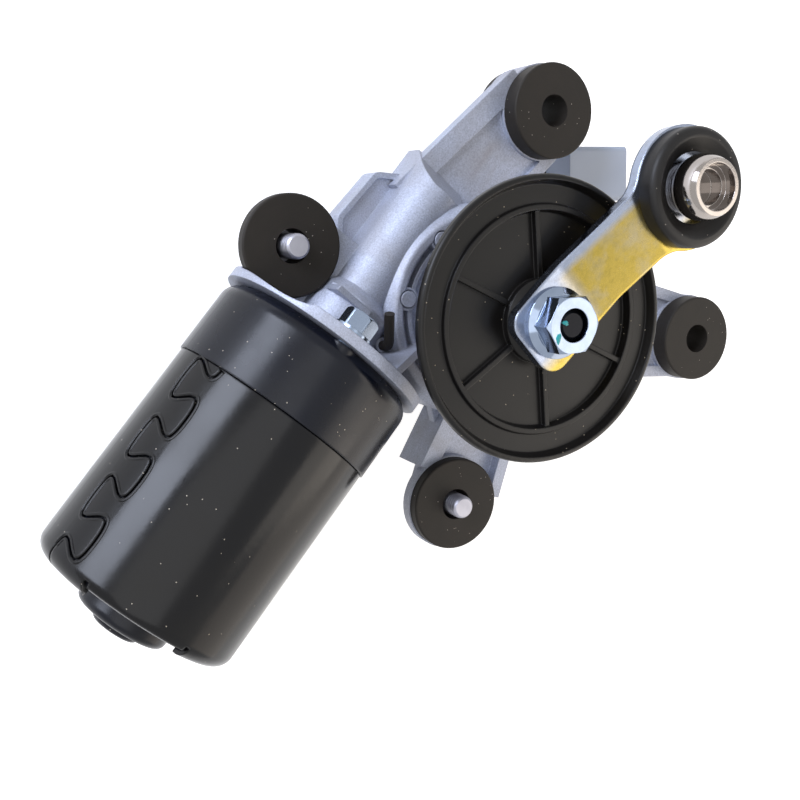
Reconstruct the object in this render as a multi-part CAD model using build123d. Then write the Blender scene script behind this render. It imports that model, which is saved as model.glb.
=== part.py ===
from build123d import *
import math
import os

# Windscreen wiper motor: permanent-magnet motor, worm gearbox, output crank and rubber mounts.
#
# Frame: the origin is where the output shaft's axis crosses the plane of the four grommets' front
# faces. +Z runs along the output shaft towards the crank, +X runs along the armature from the yoke
# towards the gearbox. Millimetres.

os.makedirs("parts", exist_ok=True)

# ---------------------------------------------------------------- driving dimensions
MODULE = 1.0
WHEEL_TEETH = 46
WORM_PITCH_R = 5.0
PRESSURE = math.radians(20)
TOOTH_BACKLASH = 0.14
WHEEL_PITCH_R = MODULE * WHEEL_TEETH / 2
WHEEL_WIDTH = 7.0

MOTOR_Y = WHEEL_PITCH_R + WORM_PITCH_R
MOTOR_Z = -3.4
RUN_GAP = 0.03
FREE_GAP = 0.4

SHEET = 1.2
SLEEVE_R = 27.4
YOKE_R = SLEEVE_R + 0.5
YOKE_FRONT_X = -33.7
SLEEVE_FRONT_X = -54.8
YOKE_REAR_X = -111.8
YOKE_WALL = 1.4
BOSS_R = 12.4
BOSS_END_X = -117.6
DOME_R = 6.5
DOME_END_X = -119.6

MAGNET_R = SLEEVE_R - SHEET - YOKE_WALL
MAGNET_THICK = 5.6
MAGNET_X = (-106.0, -60.0)
CORE_R = MAGNET_R - MAGNET_THICK - 0.6
CORE_X = (-103.0, -63.0)
SHAFT_R = 4.0
COMMUTATOR_R = 10.5
COMMUTATOR_X = (-55.0, -42.0)
BRUSH_CARD_X = (-41.0, -39.0)

FLANGE_X = (YOKE_FRONT_X, -30.9)
FLANGE_R = YOKE_R + 1.0
TUNNEL_R = 7.9
TUNNEL_BORE_R = WORM_PITCH_R + 0.9 * MODULE + FREE_GAP
TUNNEL_END_X = 25.5
TUNNEL_BROW_X = 16.6
FRONT_BEARING_X = (-30.0, -22.0)
FRONT_BEARING_R = 9.0
WORM_X = (-13.0, 11.5)

CHAMBER_R = 28.5
CHAMBER_WALL = 2.6
CHAMBER_BORE_R = CHAMBER_R - CHAMBER_WALL
BACK_Z = -16.0
WHEEL_TOP_Z = MOTOR_Z + WHEEL_WIDTH / 2
WHEEL_BOTTOM_Z = MOTOR_Z - WHEEL_WIDTH / 2
DISH_Z = (WHEEL_TOP_Z + FREE_GAP, WHEEL_TOP_Z + FREE_GAP + 1.6)
RIDGE_Z = 6.0
RIDGE_FOOT_Z = 3.4
TOWER_R = 9.5
TOWER_TOP_Z = 29.5

OUT_SHAFT_R = 5.0
BUSH_R = 7.2
BUSH_LENGTH = 9.0
ARM_THICK = 3.0
ARM_Z = 35.2
ARM_RISE = 4.0
CRANK_ANGLE = -7.4
CRANK_RADIUS = 46.9
BALL_R = 8.0
BALL_ABOVE_PAD = 6.3
NUT_AF = 13.0
NUT_HEIGHT = 7.0

DISC_R = 34.9
DISC_RIM_Z = 34.4

GROMMET_R = 12.8
GROMMET_BORE_R = 4.3
GROMMET_NECK_R = 9.0
GROMMET_FRONT = 5.4
GROMMET_LENGTH = 20.0
GROMMET_SHORT_BACK_R = 10.8
GROMMET_SHORT_FRONT = 3.2
GROMMET_SHORT_LENGTH = 9.6
GROMMETS = {1: (-19.6, 50.9), 2: (57.4, 14.9), 3: (43.4, -70.1), 4: (-43.9, -31.2)}
STUDDED = (1, 4)
STUD_R = 3.0
STUD_OUT = 4.2
LUG_RADII = {1: 11.0, 2: 13.2, 3: 13.2, 4: 13.2}
WEB_Z = (-9.4, -6.6)
SHORT_LUG_Z = (-6.6, -GROMMET_SHORT_FRONT)
LONG_LUG_Z = (BACK_Z, -GROMMET_FRONT)

YOKE_SCREW_ANGLES = (12, 192)
YOKE_SCREW_AT = YOKE_R - 4.7
YOKE_SCREW_R = 2.5
CARD_NOTCHES = (12, 192)

SLEEVE_REAR_X = YOKE_REAR_X - SHEET
SEAM_ANGLE = 64.5
SEAM_PITCH = 16.65
SEAM_NECK = 3.1
SEAM_HALF = 4.7
SEAM_GAP = 0.6
SEAM_X = -60.9
SLEEVE_NOTCHES = ((-12, 44, 2.0), (44, 47, 3.2), (-15, -12, 3.2), (160, 216, 2.0), (216, 219, 3.2))

WORM_ROOT_R = WORM_PITCH_R - 1.15 * MODULE
SHAFT_REAR_X = DOME_END_X + YOKE_WALL + 1.1
TAIL_R = 3.2
TAIL_END_X = 16.4
ARMATURE_SLOTS = 12
BRUSH_X = (-48.6, -42.6)
HOLDER_TOP_R = YOKE_R - YOKE_WALL - 2.5
BRUSH_TOP_R = HOLDER_TOP_R - 5.4
CHOKE_AT = YOKE_R - 8.9
BRUSH_ANGLES = {"common": 90, "low_speed": 270, "high_speed": 330}
CHOKE_ANGLES = (150, 210)
BLADE_Z = MOTOR_Z - 17.0
BLADE_END_X = -17.0

RIDGE_IN_R = CHAMBER_R - 4.3
RIB_RING_Z = 4.6
RIB_RING_R = CHAMBER_R - 7.0
TOWER_RIB_ANGLES = (15, 75, 165, 225, 285, 345)
EJECTOR_AT = CHAMBER_R - 5.5
EJECTOR_ANGLES = (74.2, 119.5, 210, 300)
EJECTOR_R = 2.1
HUB_R = FRONT_BEARING_R + 2.0
CAVITY_END_X = -9.0
LEDGE_Z = -10.0
TAIL_BUSH_R = 5.2
TAIL_BUSH_X = (12.2, TAIL_END_X)
THRUST_BALL_R = 1.2
THRUST_BALL_X = TAIL_END_X + THRUST_BALL_R + RUN_GAP
THRUST_PAD_R = 2.0
THRUST_PAD_X = (THRUST_BALL_X + THRUST_BALL_R, THRUST_BALL_X + THRUST_BALL_R + 0.8)

VENT_FOOT = (-24.2, 17.0, 3.2)

GASKET = 0.5
COVER_TOP_Z = BACK_Z - GASKET
COVER_THICK = 2.2
COVER_BOX_Z = -25.0
COVER_SCREW_PLACES = {221: 2.5, 284: 2.5, 14: 2.5, 153.6: 0.3}
COVER_SCREW_R = 1.9
CONTACT_POST = (-6.0, -8.0, COVER_TOP_Z)
CONNECTOR_CORNER = (74.5, -17.0)
CONNECTOR_TURN = -48.0
CONNECTOR_Z = (-24.0, -12.0)

THREAD_R = 4.0
CLIP_Z = 30.5
DISC_RIB_ANGLES = (-15, 45, 105, 165, 225, 285)
ARM_PAD_R = 15.2
BALL_SHANK_R = 4.0
BALL_FLAT = 4.4
BALL_SOCKET_R = 5.6
SEAL_R = 14.5
NUT_TURN = 12.0


def polar(radius, angle):
    """A point of the plan, from its distance to the output axis and its angle in degrees."""
    return (radius * math.cos(math.radians(angle)), radius * math.sin(math.radians(angle)))


COVER_SCREWS = [polar(CHAMBER_R + extra, angle) for angle, extra in COVER_SCREW_PLACES.items()]


# ---------------------------------------------------------------- helpers
def save(part, node):
    """Write one sub-part to its own STEP file."""
    export_step(part, f"parts/{node}.step")


def rounded(outline, rounds):
    """Round the corners of a closed outline; rounds maps a point's index to its radius."""
    face = make_face(Polyline(*outline, close=True))
    for index, radius in rounds.items():
        spot = Vector(*outline[index])
        corner = min(face.vertices(), key=lambda v: (Vector(v.X, v.Y, v.Z) - spot).length)
        face = fillet(corner, radius)
    return face


def tube_z(outer, inner, low, high, centre=(0, 0)):
    """A ring along Z; inner 0 gives a solid cylinder."""
    ring = Cylinder(outer, high - low, align=(Align.CENTER, Align.CENTER, Align.MIN))
    if inner > 0:
        ring -= Cylinder(inner, high - low, align=(Align.CENTER, Align.CENTER, Align.MIN))
    return Pos(centre[0], centre[1], low) * ring


def tube_x(outer, inner, low, high, y=MOTOR_Y, z=MOTOR_Z):
    """A ring along X about the motor axis, or about the line given by y and z."""
    ring = tube_z(outer, inner, 0, high - low)
    return Pos(low, y, z) * Rot(0, 90, 0) * ring


def revolved_x(points, rounds={}):
    """Revolve a closed outline of (x, radius) points about the motor axis."""
    face = rounded(points, rounds)
    return Pos(0, MOTOR_Y, MOTOR_Z) * revolve(face, axis=Axis.X)


def revolved_z(points, rounds={}, centre=(0, 0)):
    """Revolve a closed outline of (radius, z) points about a vertical axis."""
    face = Rot(90, 0, 0) * rounded(points, rounds)
    return Pos(centre[0], centre[1], 0) * revolve(face, axis=Axis.Z)


def prism(points, low, high, rounds={}):
    """A vertical prism over a closed outline of (x, y) points."""
    return Pos(0, 0, low) * extrude(rounded(points, rounds), high - low)


def box_between(low, high):
    """An axis-aligned box between two corners."""
    size = [b - a for a, b in zip(low, high)]
    corner = (Align.MIN, Align.MIN, Align.MIN)
    return Pos(*low) * Box(size[0], size[1], size[2], align=corner)


def hexagon(across_flats, low, high, centre=(0, 0)):
    """A hexagonal prism along Z."""
    face = RegularPolygon(across_flats / 2, 6, major_radius=False)
    return Pos(centre[0], centre[1], low) * extrude(face, high - low)


def around_motor(angle, radius, x):
    """A point beside the motor axis; angle 0 is +Z and 90 is +Y, in degrees."""
    turn = math.radians(angle)
    return (x, MOTOR_Y + radius * math.sin(turn), MOTOR_Z + radius * math.cos(turn))


def wedge_x(start, end, low, high, radius=60.0):
    """A sector of a cylinder about the motor axis, between two angles."""
    steps = max(2, int(abs(end - start) / 15) + 1)
    fan = [start + (end - start) * i / steps for i in range(steps + 1)]
    rim = [(radius * math.cos(math.radians(a)), radius * math.sin(math.radians(a))) for a in fan]
    face = make_face(Polyline((0, 0), *rim, close=True))
    across = Plane(origin=(low, MOTOR_Y, MOTOR_Z), x_dir=(0, 0, 1), z_dir=(-1, 0, 0))
    return extrude(across * face, -(high - low))


# ---------------------------------------------------------------- worm and wheel
def involute(base, radius):
    """Polar angle of an involute of the base circle at a radius."""
    tip = math.sqrt(max((radius / base) ** 2 - 1, 0.0))
    return tip - math.atan(tip)


def wheel_outline(turn):
    """Closed outline of the worm wheel's teeth, turned by an angle in radians."""
    base = WHEEL_PITCH_R * math.cos(PRESSURE)
    tip = WHEEL_PITCH_R + 0.85 * MODULE
    root = WHEEL_PITCH_R - 1.15 * MODULE
    half_pitch = (math.pi * MODULE / 2 - TOOTH_BACKLASH) / (2 * WHEEL_PITCH_R)
    half_base = half_pitch + involute(base, WHEEL_PITCH_R)
    radii = [root, 22.5, WHEEL_PITCH_R, tip]
    points = []
    for tooth in range(WHEEL_TEETH):
        middle = math.pi / 2 + turn + (tooth + 0.5) * 2 * math.pi / WHEEL_TEETH
        sides = [(r, half_base - involute(base, max(r, base))) for r in radii]
        flank = [(r, middle - half) for r, half in sides]
        flank += [(r, middle + half) for r, half in reversed(sides)]
        points += [(r * math.cos(a), r * math.sin(a)) for r, a in flank]
    return points


def worm_wheel():
    """Helical moulded wheel that the worm turns, with a thin web and a hub on the shaft."""
    lead = math.atan(MODULE / (2 * WORM_PITCH_R))
    twist = WHEEL_WIDTH * math.tan(lead) / WHEEL_PITCH_R
    low = make_face(Polyline(*wheel_outline(-twist / 2), close=True))
    high = make_face(Polyline(*wheel_outline(twist / 2), close=True))
    wheel = loft([Pos(0, 0, WHEEL_BOTTOM_Z) * low, Pos(0, 0, WHEEL_TOP_Z) * high], ruled=True)
    pocket = tube_z(19.5, 10.0, 0, 2.4)
    wheel -= Pos(0, 0, WHEEL_TOP_Z - 2.4) * pocket
    spokes = [Rot(0, 0, 60 * i) * box_between((9.5, -0.8, 0), (20.0, 0.8, 2.4)) for i in range(6)]
    for spoke in spokes:
        wheel += Pos(0, 0, WHEEL_TOP_Z - 2.4) * spoke
    wheel -= tube_z(19.5, 18.2, WHEEL_BOTTOM_Z - 1, WHEEL_BOTTOM_Z + 1.4)
    wheel -= tube_z(OUT_SHAFT_R, 0, WHEEL_BOTTOM_Z - 1, WHEEL_TOP_Z + 1)
    return wheel


def worm_section(x):
    """Cross-section of the single-start worm where its thread crosses the plane at x."""
    pitch = math.pi * MODULE
    tip = WORM_PITCH_R + 0.9 * MODULE
    root = WORM_PITCH_R - 1.15 * MODULE
    centre = math.pi + 2 * math.pi * x / pitch

    def half_angle(r):
        half = pitch / 4 - (r - WORM_PITCH_R) * math.tan(PRESSURE) - TOOTH_BACKLASH / 2
        return 2 * math.pi * half / pitch

    def at(r, a):
        return (r * math.cos(centre + a), r * math.sin(centre + a))

    steps = 4
    radii = [root + (tip - root) * i / steps for i in range(steps + 1)]
    rising = Spline(*[at(r, -half_angle(r)) for r in radii])
    falling = Spline(*[at(r, half_angle(r)) for r in reversed(radii)])
    crest = ThreePointArc(at(tip, -half_angle(tip)), at(tip, 0), at(tip, half_angle(tip)))
    valley = ThreePointArc(at(root, half_angle(root)), at(root, math.pi), at(root, -half_angle(root)))
    return make_face(Curve() + [rising, crest, falling, valley]).face()



# ---------------------------------------------------------------- yoke
def yoke_can():
    """Deep-drawn can: proud front shoulder, thinner body under the sleeve, bearing boss behind."""
    body = SLEEVE_R - SHEET
    front_in = 20.0
    outline = [
        (YOKE_FRONT_X, front_in),
        (YOKE_FRONT_X, YOKE_R),
        (SLEEVE_FRONT_X, YOKE_R),
        (SLEEVE_FRONT_X, body),
        (YOKE_REAR_X, body),
        (YOKE_REAR_X, BOSS_R),
        (BOSS_END_X, BOSS_R),
        (BOSS_END_X, DOME_R),
        (DOME_END_X, DOME_R),
        (DOME_END_X, 0),
        (DOME_END_X + YOKE_WALL, 0),
        (DOME_END_X + YOKE_WALL, DOME_R - YOKE_WALL),
        (BOSS_END_X + YOKE_WALL, DOME_R - YOKE_WALL),
        (BOSS_END_X + YOKE_WALL, BOSS_R - YOKE_WALL),
        (YOKE_REAR_X + YOKE_WALL, BOSS_R - YOKE_WALL),
        (YOKE_REAR_X + YOKE_WALL, body - YOKE_WALL),
        (SLEEVE_FRONT_X + YOKE_WALL, body - YOKE_WALL),
        (SLEEVE_FRONT_X + YOKE_WALL, YOKE_R - YOKE_WALL),
        (YOKE_FRONT_X - YOKE_WALL, YOKE_R - YOKE_WALL),
        (YOKE_FRONT_X - YOKE_WALL, front_in),
    ]
    rounds = {1: 4.5, 4: 3.0, 6: 2.0, 8: 1.4, 15: 1.6, 18: 3.1}
    can = revolved_x(outline, rounds)
    for angle in YOKE_SCREW_ANGLES:
        spot = around_motor(angle, YOKE_SCREW_AT, 0)
        can += tube_x(4.2, 0, YOKE_FRONT_X - 5.0, YOKE_FRONT_X - 0.5, spot[1], spot[2])
        can -= tube_x(YOKE_SCREW_R, 0, YOKE_FRONT_X - 8, YOKE_FRONT_X + 1, spot[1], spot[2])
    return can


def seam_point(t):
    """A point of the puzzle seam's centre line; one period of t is 2 pi."""
    along = SEAM_PITCH * t / (2 * math.pi) + SEAM_NECK * math.sin(2 * t)
    across = SEAM_HALF * (1.06 * math.cos(t) - 0.06 * math.cos(3 * t))
    return along, across


def seam_cutter():
    """The narrow gap that the sleeve's dovetailed edges leave, cut down from outside."""
    steps_per_turn = 20
    first = -0.9 * math.pi
    last = 2 * math.pi * 3 + 0.5 * math.pi
    count = int((last - first) / (2 * math.pi) * steps_per_turn)
    ts = [first + (last - first) * i / count for i in range(count + 1)]
    path = [(SEAM_X - a, c) for a, c in (seam_point(t) for t in ts)]
    tail = [(SLEEVE_REAR_X - 2, path[-1][1]), (path[-1][0] - 1.5, path[-1][1])]
    path = path + [tail[1], tail[0]]
    sides = [[], []]
    for i, (x, y) in enumerate(path):
        ahead = path[min(i + 1, len(path) - 1)]
        behind = path[max(i - 1, 0)]
        length = math.dist(ahead, behind)
        nx = -(ahead[1] - behind[1]) / length * SEAM_GAP / 2
        ny = (ahead[0] - behind[0]) / length * SEAM_GAP / 2
        sides[0].append((x + nx, y + ny))
        sides[1].append((x - nx, y - ny))
    band = make_face(Polyline(*(sides[0] + sides[1][::-1]), close=True))
    outward = Vector(*around_motor(SEAM_ANGLE, SLEEVE_R + 1, 0))
    turn = math.radians(SEAM_ANGLE)
    facing = Plane(origin=outward, x_dir=(1, 0, 0), z_dir=(0, math.sin(turn), math.cos(turn)))
    return extrude(facing * band, -(SHEET + 3.2))


def flux_sleeve():
    """Rolled steel flux ring, joined by a dovetailed seam and curled over the can's rear corner."""
    inner = SLEEVE_R - SHEET
    lip = inner - 3.6
    outline = [
        (SLEEVE_FRONT_X, inner),
        (SLEEVE_FRONT_X, SLEEVE_R),
        (SLEEVE_REAR_X, SLEEVE_R),
        (SLEEVE_REAR_X, lip),
        (YOKE_REAR_X, lip),
        (YOKE_REAR_X, inner),
    ]
    sleeve = revolved_x(outline, {1: 0.3, 2: 4.0, 5: 3.0})
    sleeve -= seam_cutter()
    for start, end, depth in SLEEVE_NOTCHES:
        sleeve -= wedge_x(start, end, SLEEVE_REAR_X - 1, SLEEVE_REAR_X + depth)
    return sleeve


def magnet(angle):
    """One curved ferrite magnet."""
    shell = tube_x(MAGNET_R, MAGNET_R - MAGNET_THICK, *MAGNET_X)
    return shell & wedge_x(angle - 64, angle + 64, MAGNET_X[0] - 1, MAGNET_X[1] + 1)


def magnet_clips():
    """Two spring-steel clips that hold the magnets' edges apart."""
    clips = []
    for angle in (90, 270):
        back = tube_x(MAGNET_R, MAGNET_R - 0.8, MAGNET_X[0] + 2, MAGNET_X[1] - 2)
        back &= wedge_x(angle - 24, angle + 24, MAGNET_X[0], MAGNET_X[1])
        for side in (-24, 21.5):
            leg = tube_x(MAGNET_R, MAGNET_R - 4.5, MAGNET_X[0] + 6, MAGNET_X[1] - 6)
            back += leg & wedge_x(angle + side, angle + side + 2.5, MAGNET_X[0], MAGNET_X[1])
        clips.append(back)
    return clips


# ---------------------------------------------------------------- armature
def armature_shaft():
    """Ground steel shaft, stepped down where the worm is pressed on."""
    return revolved_x([
        (SHAFT_REAR_X, 0), (SHAFT_REAR_X, SHAFT_R), (WORM_X[0], SHAFT_R), (WORM_X[0], TAIL_R),
        (TAIL_END_X, TAIL_R), (TAIL_END_X, 0),
    ], {1: 1.0})


def worm():
    """Hardened single-start worm on the shaft's front end."""
    length = WORM_X[1] - WORM_X[0]
    turns = 360 * length / (math.pi * MODULE)
    thread = Solid.extrude_linear_with_rotation(
        worm_section(WORM_X[0]), (0, 0, 0), (0, 0, length), turns
    )
    across = Plane(origin=(WORM_X[0], MOTOR_Y, MOTOR_Z), x_dir=(0, 1, 0), z_dir=(1, 0, 0))
    return across.location * thread - tube_x(TAIL_R, 0, WORM_X[0] - 1, WORM_X[1] + 1)


def slot_bar(angle, half_width, low, high, start, end):
    """A radial bar across the armature, from one radius to another."""
    bar = box_between((start, -half_width, low), (end, half_width, high))
    return Pos(0, MOTOR_Y, MOTOR_Z) * (Rot(angle, 0, 0) * bar)


def armature_core():
    """Laminated core with open winding slots."""
    core = tube_x(CORE_R, SHAFT_R, *CORE_X)
    for i in range(ARMATURE_SLOTS):
        angle = 360 * i / ARMATURE_SLOTS
        core -= slot_bar(angle, 1.6, 8.6, CORE_R - 1.4, CORE_X[0] - 1, CORE_X[1] + 1)
        core -= slot_bar(angle, 0.7, CORE_R - 2, CORE_R + 1, CORE_X[0] - 1, CORE_X[1] + 1)
    return core


def armature_winding():
    """Enamelled copper in the slots, with its two heads of crossed turns."""
    reach = 4.6
    winding = revolved_x([
        (CORE_X[0] - reach, 6.2), (CORE_X[0] - reach, 14.6), (CORE_X[0], CORE_R - 1.6), (CORE_X[0], 6.2),
    ], {1: 1.8})
    winding += revolved_x([
        (CORE_X[1] + reach, 6.2), (CORE_X[1] + reach, 14.6), (CORE_X[1], CORE_R - 1.6), (CORE_X[1], 6.2),
    ], {1: 1.8})
    for i in range(ARMATURE_SLOTS):
        angle = 360 * i / ARMATURE_SLOTS
        winding += slot_bar(angle, 1.5, 8.7, CORE_R - 1.6, CORE_X[0] - 1, CORE_X[1] + 1)
    return winding


def commutator():
    """Copper commutator bars with their risers."""
    ring = tube_x(COMMUTATOR_R, 7.0, *COMMUTATOR_X)
    ring += tube_x(COMMUTATOR_R + 1.6, 7.0, COMMUTATOR_X[0], COMMUTATOR_X[0] + 1.8)
    for i in range(ARMATURE_SLOTS):
        angle = 360 * (i + 0.5) / ARMATURE_SLOTS
        ring -= slot_bar(angle, 0.3, 5, 14, COMMUTATOR_X[0] - 1, COMMUTATOR_X[1] + 1)
    return ring


def ball_ring(count, ball_r, pitch_r, x):
    """A ring of bearing balls about the motor axis."""
    spots = [around_motor(360 * i / count, pitch_r, x) for i in range(count)]
    return [Pos(*spot) * Sphere(ball_r) for spot in spots]


# ---------------------------------------------------------------- brush gear
def brush_place(angle):
    """Location at a brush: local +Z points outwards from the motor axis."""
    return Pos(0, MOTOR_Y, MOTOR_Z) * Rot(-angle, 0, 0)


def brush_card():
    """Phenolic plate across the can's mouth that carries the brush gear."""
    card = tube_x(YOKE_R - YOKE_WALL, COMMUTATOR_R + 2.2, *BRUSH_CARD_X)
    for angle in CARD_NOTCHES:
        card -= slot_bar(-angle, 3.0, 24.0, 30, BRUSH_CARD_X[0] - 1, BRUSH_CARD_X[1] + 1)
    return card


def brush_holder(angle):
    """Folded brass box that guides one brush."""
    shell = box_between((BRUSH_X[0] - 0.9, -3.7, 12.2), (BRUSH_CARD_X[0], 3.7, HOLDER_TOP_R))
    bore = box_between((BRUSH_X[0] - 0.1, -2.9, 11.0), (BRUSH_X[1] + 0.1, 2.9, HOLDER_TOP_R - 0.8))
    return brush_place(angle) * (shell - bore)


def brush(angle):
    """Carbon brush, just clear of the bars that it rubs on."""
    return brush_place(angle) * box_between(
        (BRUSH_X[0], -2.8, COMMUTATOR_R + 0.06), (BRUSH_X[1], 2.8, BRUSH_TOP_R)
    )


def brush_spring(angle):
    """Coil spring behind one brush; a sector of a ring, twisted upwards, makes its square wire."""
    height = HOLDER_TOP_R - 0.8 - BRUSH_TOP_R
    reach = math.radians(150)
    ends = [(math.cos(a), math.sin(a)) for a in (0, reach / 2, reach)]
    outer = ThreePointArc(*[(2.1 * x, 2.1 * y) for x, y in ends])
    inner = ThreePointArc(*[(1.4 * x, 1.4 * y) for x, y in reversed(ends)])
    joins = [Line(outer @ 1, inner @ 0), Line(inner @ 1, outer @ 0)]
    wire = make_face(Curve() + [outer, inner] + joins).face()
    coil = Solid.extrude_linear_with_rotation(wire, (0, 0, 0), (0, 0, height), 360 * 3)
    middle = (BRUSH_X[0] + BRUSH_X[1]) / 2
    return brush_place(angle) * Pos(middle, 0, BRUSH_TOP_R) * coil


def choke(angle):
    """Ferrite rod with a coil of the supply lead round it."""
    rod = Cylinder(1.3, 13) + Cylinder(2.3, 9)
    return brush_place(angle) * Pos(BRUSH_CARD_X[0] - 2.3, 0, CHOKE_AT) * Rot(90, 0, 0) * rod


def motor_blades():
    """Brass blades from the brush card through the flange to the cover's sockets."""
    blades = []
    for side in (-5.0, 0.0, 5.0):
        strip = box_between((BRUSH_CARD_X[1], MOTOR_Y + side - 1.5, BLADE_Z - 0.4),
                            (BLADE_END_X, MOTOR_Y + side + 1.5, BLADE_Z + 0.4))
        foot = box_between((BRUSH_CARD_X[1], MOTOR_Y + side - 1.5, BLADE_Z - 0.4),
                           (BRUSH_CARD_X[1] + 0.8, MOTOR_Y + side + 1.5, BLADE_Z + 5.0))
        blades.append(strip + foot)
    return blades


def rear_bush():
    """Sintered bush in the can's boss."""
    return tube_x(8.0, SHAFT_R + RUN_GAP, BOSS_END_X + YOKE_WALL, BOSS_END_X + YOKE_WALL + 8)


def rear_bush_retainer():
    """Pressed ring that holds the bush in the boss."""
    return tube_x(BOSS_R - YOKE_WALL, 8.0, BOSS_END_X + YOKE_WALL + 2, BOSS_END_X + YOKE_WALL + 3.2)


# ---------------------------------------------------------------- gearbox
def lug_place(number):
    """Centre of a mounting lug."""
    return GROMMETS[number]


def strip(start, end, half_width, low, high):
    """An upright wall between two points of the plan."""
    length = math.dist(start, end)
    turn = math.degrees(math.atan2(end[1] - start[1], end[0] - start[0]))
    wall = box_between((0, -half_width, low), (length, half_width, high))
    return Pos(start[0], start[1], 0) * (Rot(0, 0, turn) * wall)


def ramp_wall(start, end, half_width, low):
    """An upright wall between two (x, y, z) points, with its top edge running from one to the other."""
    length = math.dist(start[:2], end[:2])
    turn = math.degrees(math.atan2(end[1] - start[1], end[0] - start[0]))
    side = Polyline((0, 0, low), (0, 0, start[2]), (length, 0, end[2]), (length, 0, low), close=True)
    wall = extrude(make_face(side), half_width, both=True)
    return Pos(start[0], start[1], 0) * (Rot(0, 0, turn) * wall)


def chamber_shell():
    """Round gear chamber with its raised front ridge, concentric rib, tower and tower ribs."""
    shell = revolved_z([
        (0, BACK_Z), (CHAMBER_R, BACK_Z), (CHAMBER_R, RIDGE_FOOT_Z), (CHAMBER_R - 2.2, RIDGE_Z), (RIDGE_IN_R, RIDGE_Z),
        (RIDGE_IN_R - 1.6, DISH_Z[1]), (0, DISH_Z[1]),
    ], {2: 1.0, 3: 1.2, 4: 0.8, 5: 1.0})
    shell += tube_z(RIB_RING_R + 0.6, RIB_RING_R - 0.6, DISH_Z[1] - 0.5, RIB_RING_Z)
    shell += revolved_z([
        (0, 0.5), (TOWER_R + 2.2, 0.5), (TOWER_R + 2.2, 4.0), (TOWER_R, 9.0),
        (TOWER_R, TOWER_TOP_Z), (0, TOWER_TOP_Z),
    ], {3: 3.0, 4: 0.8})
    for angle in TOWER_RIB_ANGLES:
        web = Polyline((7, 0, 1), (RIB_RING_R, 0, 1), (RIB_RING_R, 0, RIB_RING_Z), (TOWER_R - 0.5, 0, 17), (7, 0, 17),
                       close=True)
        shell += Rot(0, 0, angle) * extrude(make_face(web), 0.9, both=True)
    for angle in EJECTOR_ANGLES:
        spot = polar(EJECTOR_AT, angle)
        shell += tube_z(EJECTOR_R + 0.9, 0, 0.6, RIDGE_Z - 0.4, spot)
        shell -= tube_z(EJECTOR_R + 0.3, EJECTOR_R, RIDGE_Z - 1.2, RIDGE_Z + 1, spot)
        shell += tube_z(EJECTOR_R, 0, 0.6, RIDGE_Z + 0.2, spot)
    return shell


def worm_tunnel():
    """Raised tunnel over the worm, its bearing hub and the ledge beside it."""
    tunnel = revolved_x([
        (FLANGE_X[0], 0), (FLANGE_X[0], HUB_R), (FRONT_BEARING_X[1] + 2, HUB_R),
        (FRONT_BEARING_X[1] + 5, TUNNEL_R), (TUNNEL_END_X, TUNNEL_R), (TUNNEL_END_X, 0),
    ])
    tunnel += box_between((CAVITY_END_X, MOTOR_Y - TUNNEL_R, BACK_Z), (TUNNEL_END_X, MOTOR_Y + TUNNEL_R, MOTOR_Z))
    brow = Polyline((TUNNEL_BROW_X, 0, 8), (TUNNEL_BROW_X, 0, 3.6), (TUNNEL_END_X, 0, WEB_Z[1] - 3.4),
                    (TUNNEL_END_X, 0, BACK_Z - 1), (TUNNEL_END_X + 9, 0, BACK_Z - 1), (TUNNEL_END_X + 9, 0, 8),
                    close=True)
    tunnel -= Pos(0, MOTOR_Y, 0) * extrude(make_face(brow), 20, both=True)
    ledge = [(CAVITY_END_X, 12), (17, 12), (17.2, 35.4), (12.3, 42.2), (-3.6, 43.2), (CAVITY_END_X, 38.6)]
    rounds = {2: 1.2, 3: 3.0, 4: 2.5}
    rim = prism(ledge, BACK_Z, LEDGE_Z + 0.9, rounds)
    inside = offset(rounded(ledge, rounds), -1.6, kind=Kind.INTERSECTION)
    rim -= Pos(0, 0, LEDGE_Z) * extrude(inside, 3)
    return tunnel + rim


def motor_flange():
    """Round face that the can seats on, with the open pocket between it and the chamber."""
    flange = tube_x(FLANGE_R, 0, *FLANGE_X)
    flange += box_between((FLANGE_X[0], 0, BACK_Z), (CAVITY_END_X, 43, BACK_Z + 2.4))
    flange += ramp_wall((FLANGE_X[1], 18.5, 22.0), (-17.0, 8.0, RIDGE_Z - 0.4), 1.0, BACK_Z)
    flange += strip((-25.5, 5.0), (CAVITY_END_X, 21.0), 1.1, BACK_Z, 2.4)
    flange += tube_z(1.9, 0, MOTOR_Z, VENT_FOOT[2], VENT_FOOT[:2])
    flange += strip((-21.5, 27.0), (-21.5, 38.0), 0.8, BACK_Z, 8.0)
    return flange


def lug_heights(number):
    """Low and high ends of a lug: short behind the bolted grommets, deep behind the plain ones."""
    return SHORT_LUG_Z if number in STUDDED else LONG_LUG_Z


def lug(number):
    """Round eye that holds a grommet by its neck."""
    return tube_z(LUG_RADII[number], 0, *lug_heights(number), lug_place(number))


def lug_arm(number, foot_a, foot_b):
    """Channel-section arm from two feet on the chamber to a lug: a web and two edge ribs."""
    x, y = lug_place(number)
    heading = math.atan2(y - (foot_a[1] + foot_b[1]) / 2, x - (foot_a[0] + foot_b[0]) / 2)
    side = (-math.sin(heading), math.cos(heading))
    near = LUG_RADII[number] - 2.4
    tip_a = (x + side[0] * near, y + side[1] * near)
    tip_b = (x - side[0] * near, y - side[1] * near)
    web = prism([foot_a, foot_b, tip_b, tip_a], *WEB_Z)
    rib_top = lug_heights(number)[1]
    ribs = strip(foot_a, tip_a, 1.7, BACK_Z, rib_top) + strip(foot_b, tip_b, 1.7, BACK_Z, rib_top)
    return web + ribs


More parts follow.
